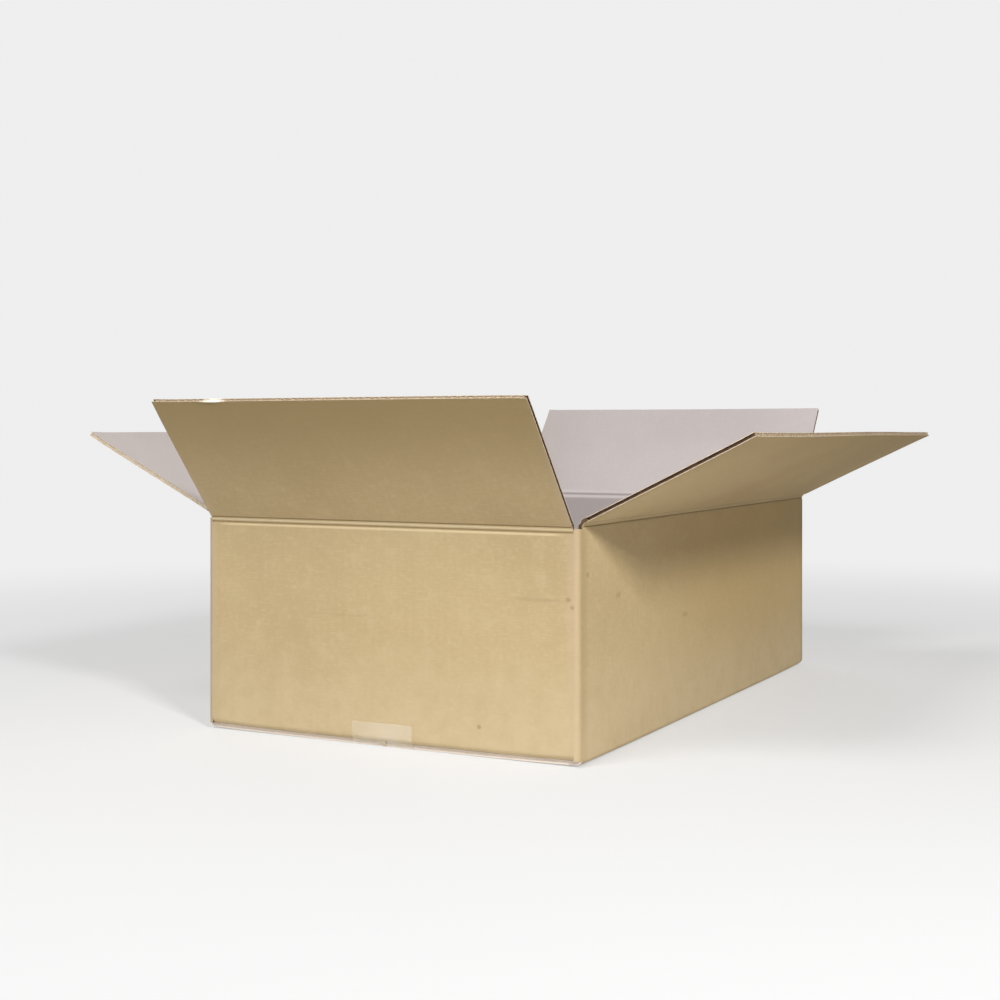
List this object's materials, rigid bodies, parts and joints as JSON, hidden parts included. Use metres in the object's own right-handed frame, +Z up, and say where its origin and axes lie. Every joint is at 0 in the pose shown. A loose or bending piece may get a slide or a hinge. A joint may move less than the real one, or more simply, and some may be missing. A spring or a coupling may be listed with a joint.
{
  "type": "cardboard shipping box",
  "caption": "Slotted shipping carton of corrugated kraft board, standing open, with hinged top flaps and a folded, taped bottom. It holds goods for packing and transport.",
  "frame": {"origin": "middle of the underside, where the tape lies on the ground", "axes": "+Z up, +X across the short walls to the right seen from the front, +Y along the long walls to the back"},
  "size_m": [0.534, 0.6466, 0.2408],
  "materials": {
    "kraft_board": "matt kraft liner outside, pale grey liner inside",
    "clear_tape": "clear film, slightly glossy"
  },
  "bodies": {
    "carton": {"box_body": "kraft_board", "bottom_tape": "clear_tape"},
    "front_flap": {"front_flap": "kraft_board"},
    "back_flap": {"back_flap": "kraft_board"},
    "left_flap": {"left_flap": "kraft_board"},
    "right_flap": {"right_flap": "kraft_board"}
  },
  "joints": [
    {"name": "front_fold", "type": "hinge", "parent": "carton", "child": "front_flap", "pos_m": [0, -0.2553, 0.155], "axis": [-1, 0, 0], "range_deg": [-141, 129]},
    {"name": "back_fold", "type": "hinge", "parent": "carton", "child": "back_flap", "pos_m": [0, 0.2553, 0.155], "axis": [1, 0, 0], "range_deg": [-141, 129]},
    {"name": "left_fold", "type": "hinge", "parent": "carton", "child": "left_flap", "pos_m": [-0.1503, 0, 0.1583], "axis": [0, 1, 0], "range_deg": [-116, 154]},
    {"name": "right_fold", "type": "hinge", "parent": "carton", "child": "right_flap", "pos_m": [0.1503, 0, 0.1583], "axis": [0, -1, 0], "range_deg": [-116, 154]}
  ]
}
